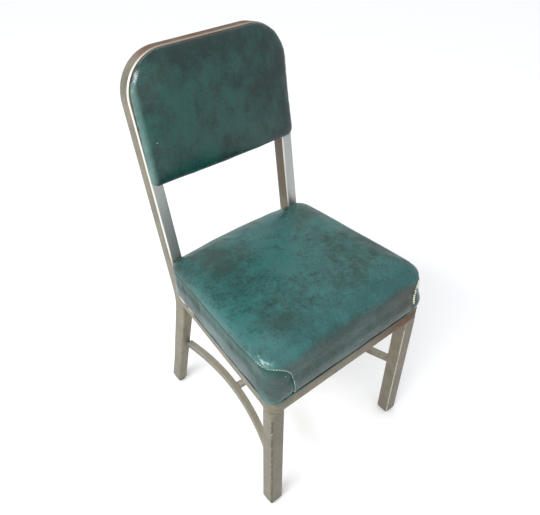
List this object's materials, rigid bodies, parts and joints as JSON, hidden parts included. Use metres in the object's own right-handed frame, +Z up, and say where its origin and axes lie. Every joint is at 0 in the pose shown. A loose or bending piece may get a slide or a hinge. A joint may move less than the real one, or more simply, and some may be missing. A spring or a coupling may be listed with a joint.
{
  "type": "office side chair",
  "caption": "Armless side chair: bent metal hoop back frame, square front legs, bowed side stretchers, boxed seat cushion and round-cornered back pad.",
  "frame": {"origin": "on the floor, under the middle of the chair's bounding box", "axes": "+Z up, -Y towards the front of the chair, +X to the right seen from the front"},
  "size_m": [0.4326, 0.4978, 0.894],
  "materials": {
    "frame_metal": "aged satin tube, warm grey, fine specks",
    "vinyl": "satin green leathercloth, dark mottling",
    "welt_vinyl": "satin green leathercloth, lighter edge roll",
    "plywood": "bare plywood",
    "glide_rubber": "dark worn glide",
    "screw_steel": "zinc plated"
  },
  "bodies": {
    "root": {"back_frame": "frame_metal", "front_left_leg": "frame_metal", "front_right_leg": "frame_metal", "front_left_glide": "glide_rubber", "front_right_glide": "glide_rubber", "rear_left_glide": "glide_rubber", "rear_right_glide": "glide_rubber", "front_rail": "frame_metal", "left_side_rail": "frame_metal", "right_side_rail": "frame_metal", "rear_rail": "frame_metal", "left_side_stretcher": "frame_metal", "right_side_stretcher": "frame_metal", "cross_stretcher": "frame_metal", "front_left_bracket": "frame_metal", "front_right_bracket": "frame_metal", "rear_left_bracket": "frame_metal", "rear_right_bracket": "frame_metal", "front_left_seat_screw": "screw_steel", "front_right_seat_screw": "screw_steel", "rear_left_seat_screw": "screw_steel", "rear_right_seat_screw": "screw_steel", "seat_board": "plywood", "seat_cushion": "vinyl", "seat_welt": "welt_vinyl", "back_board": "vinyl", "back_pad": "vinyl", "back_screw_left_upper": "screw_steel", "back_screw_left_lower": "screw_steel", "back_screw_right_upper": "screw_steel", "back_screw_right_lower": "screw_steel"}
  },
  "joints": []
}
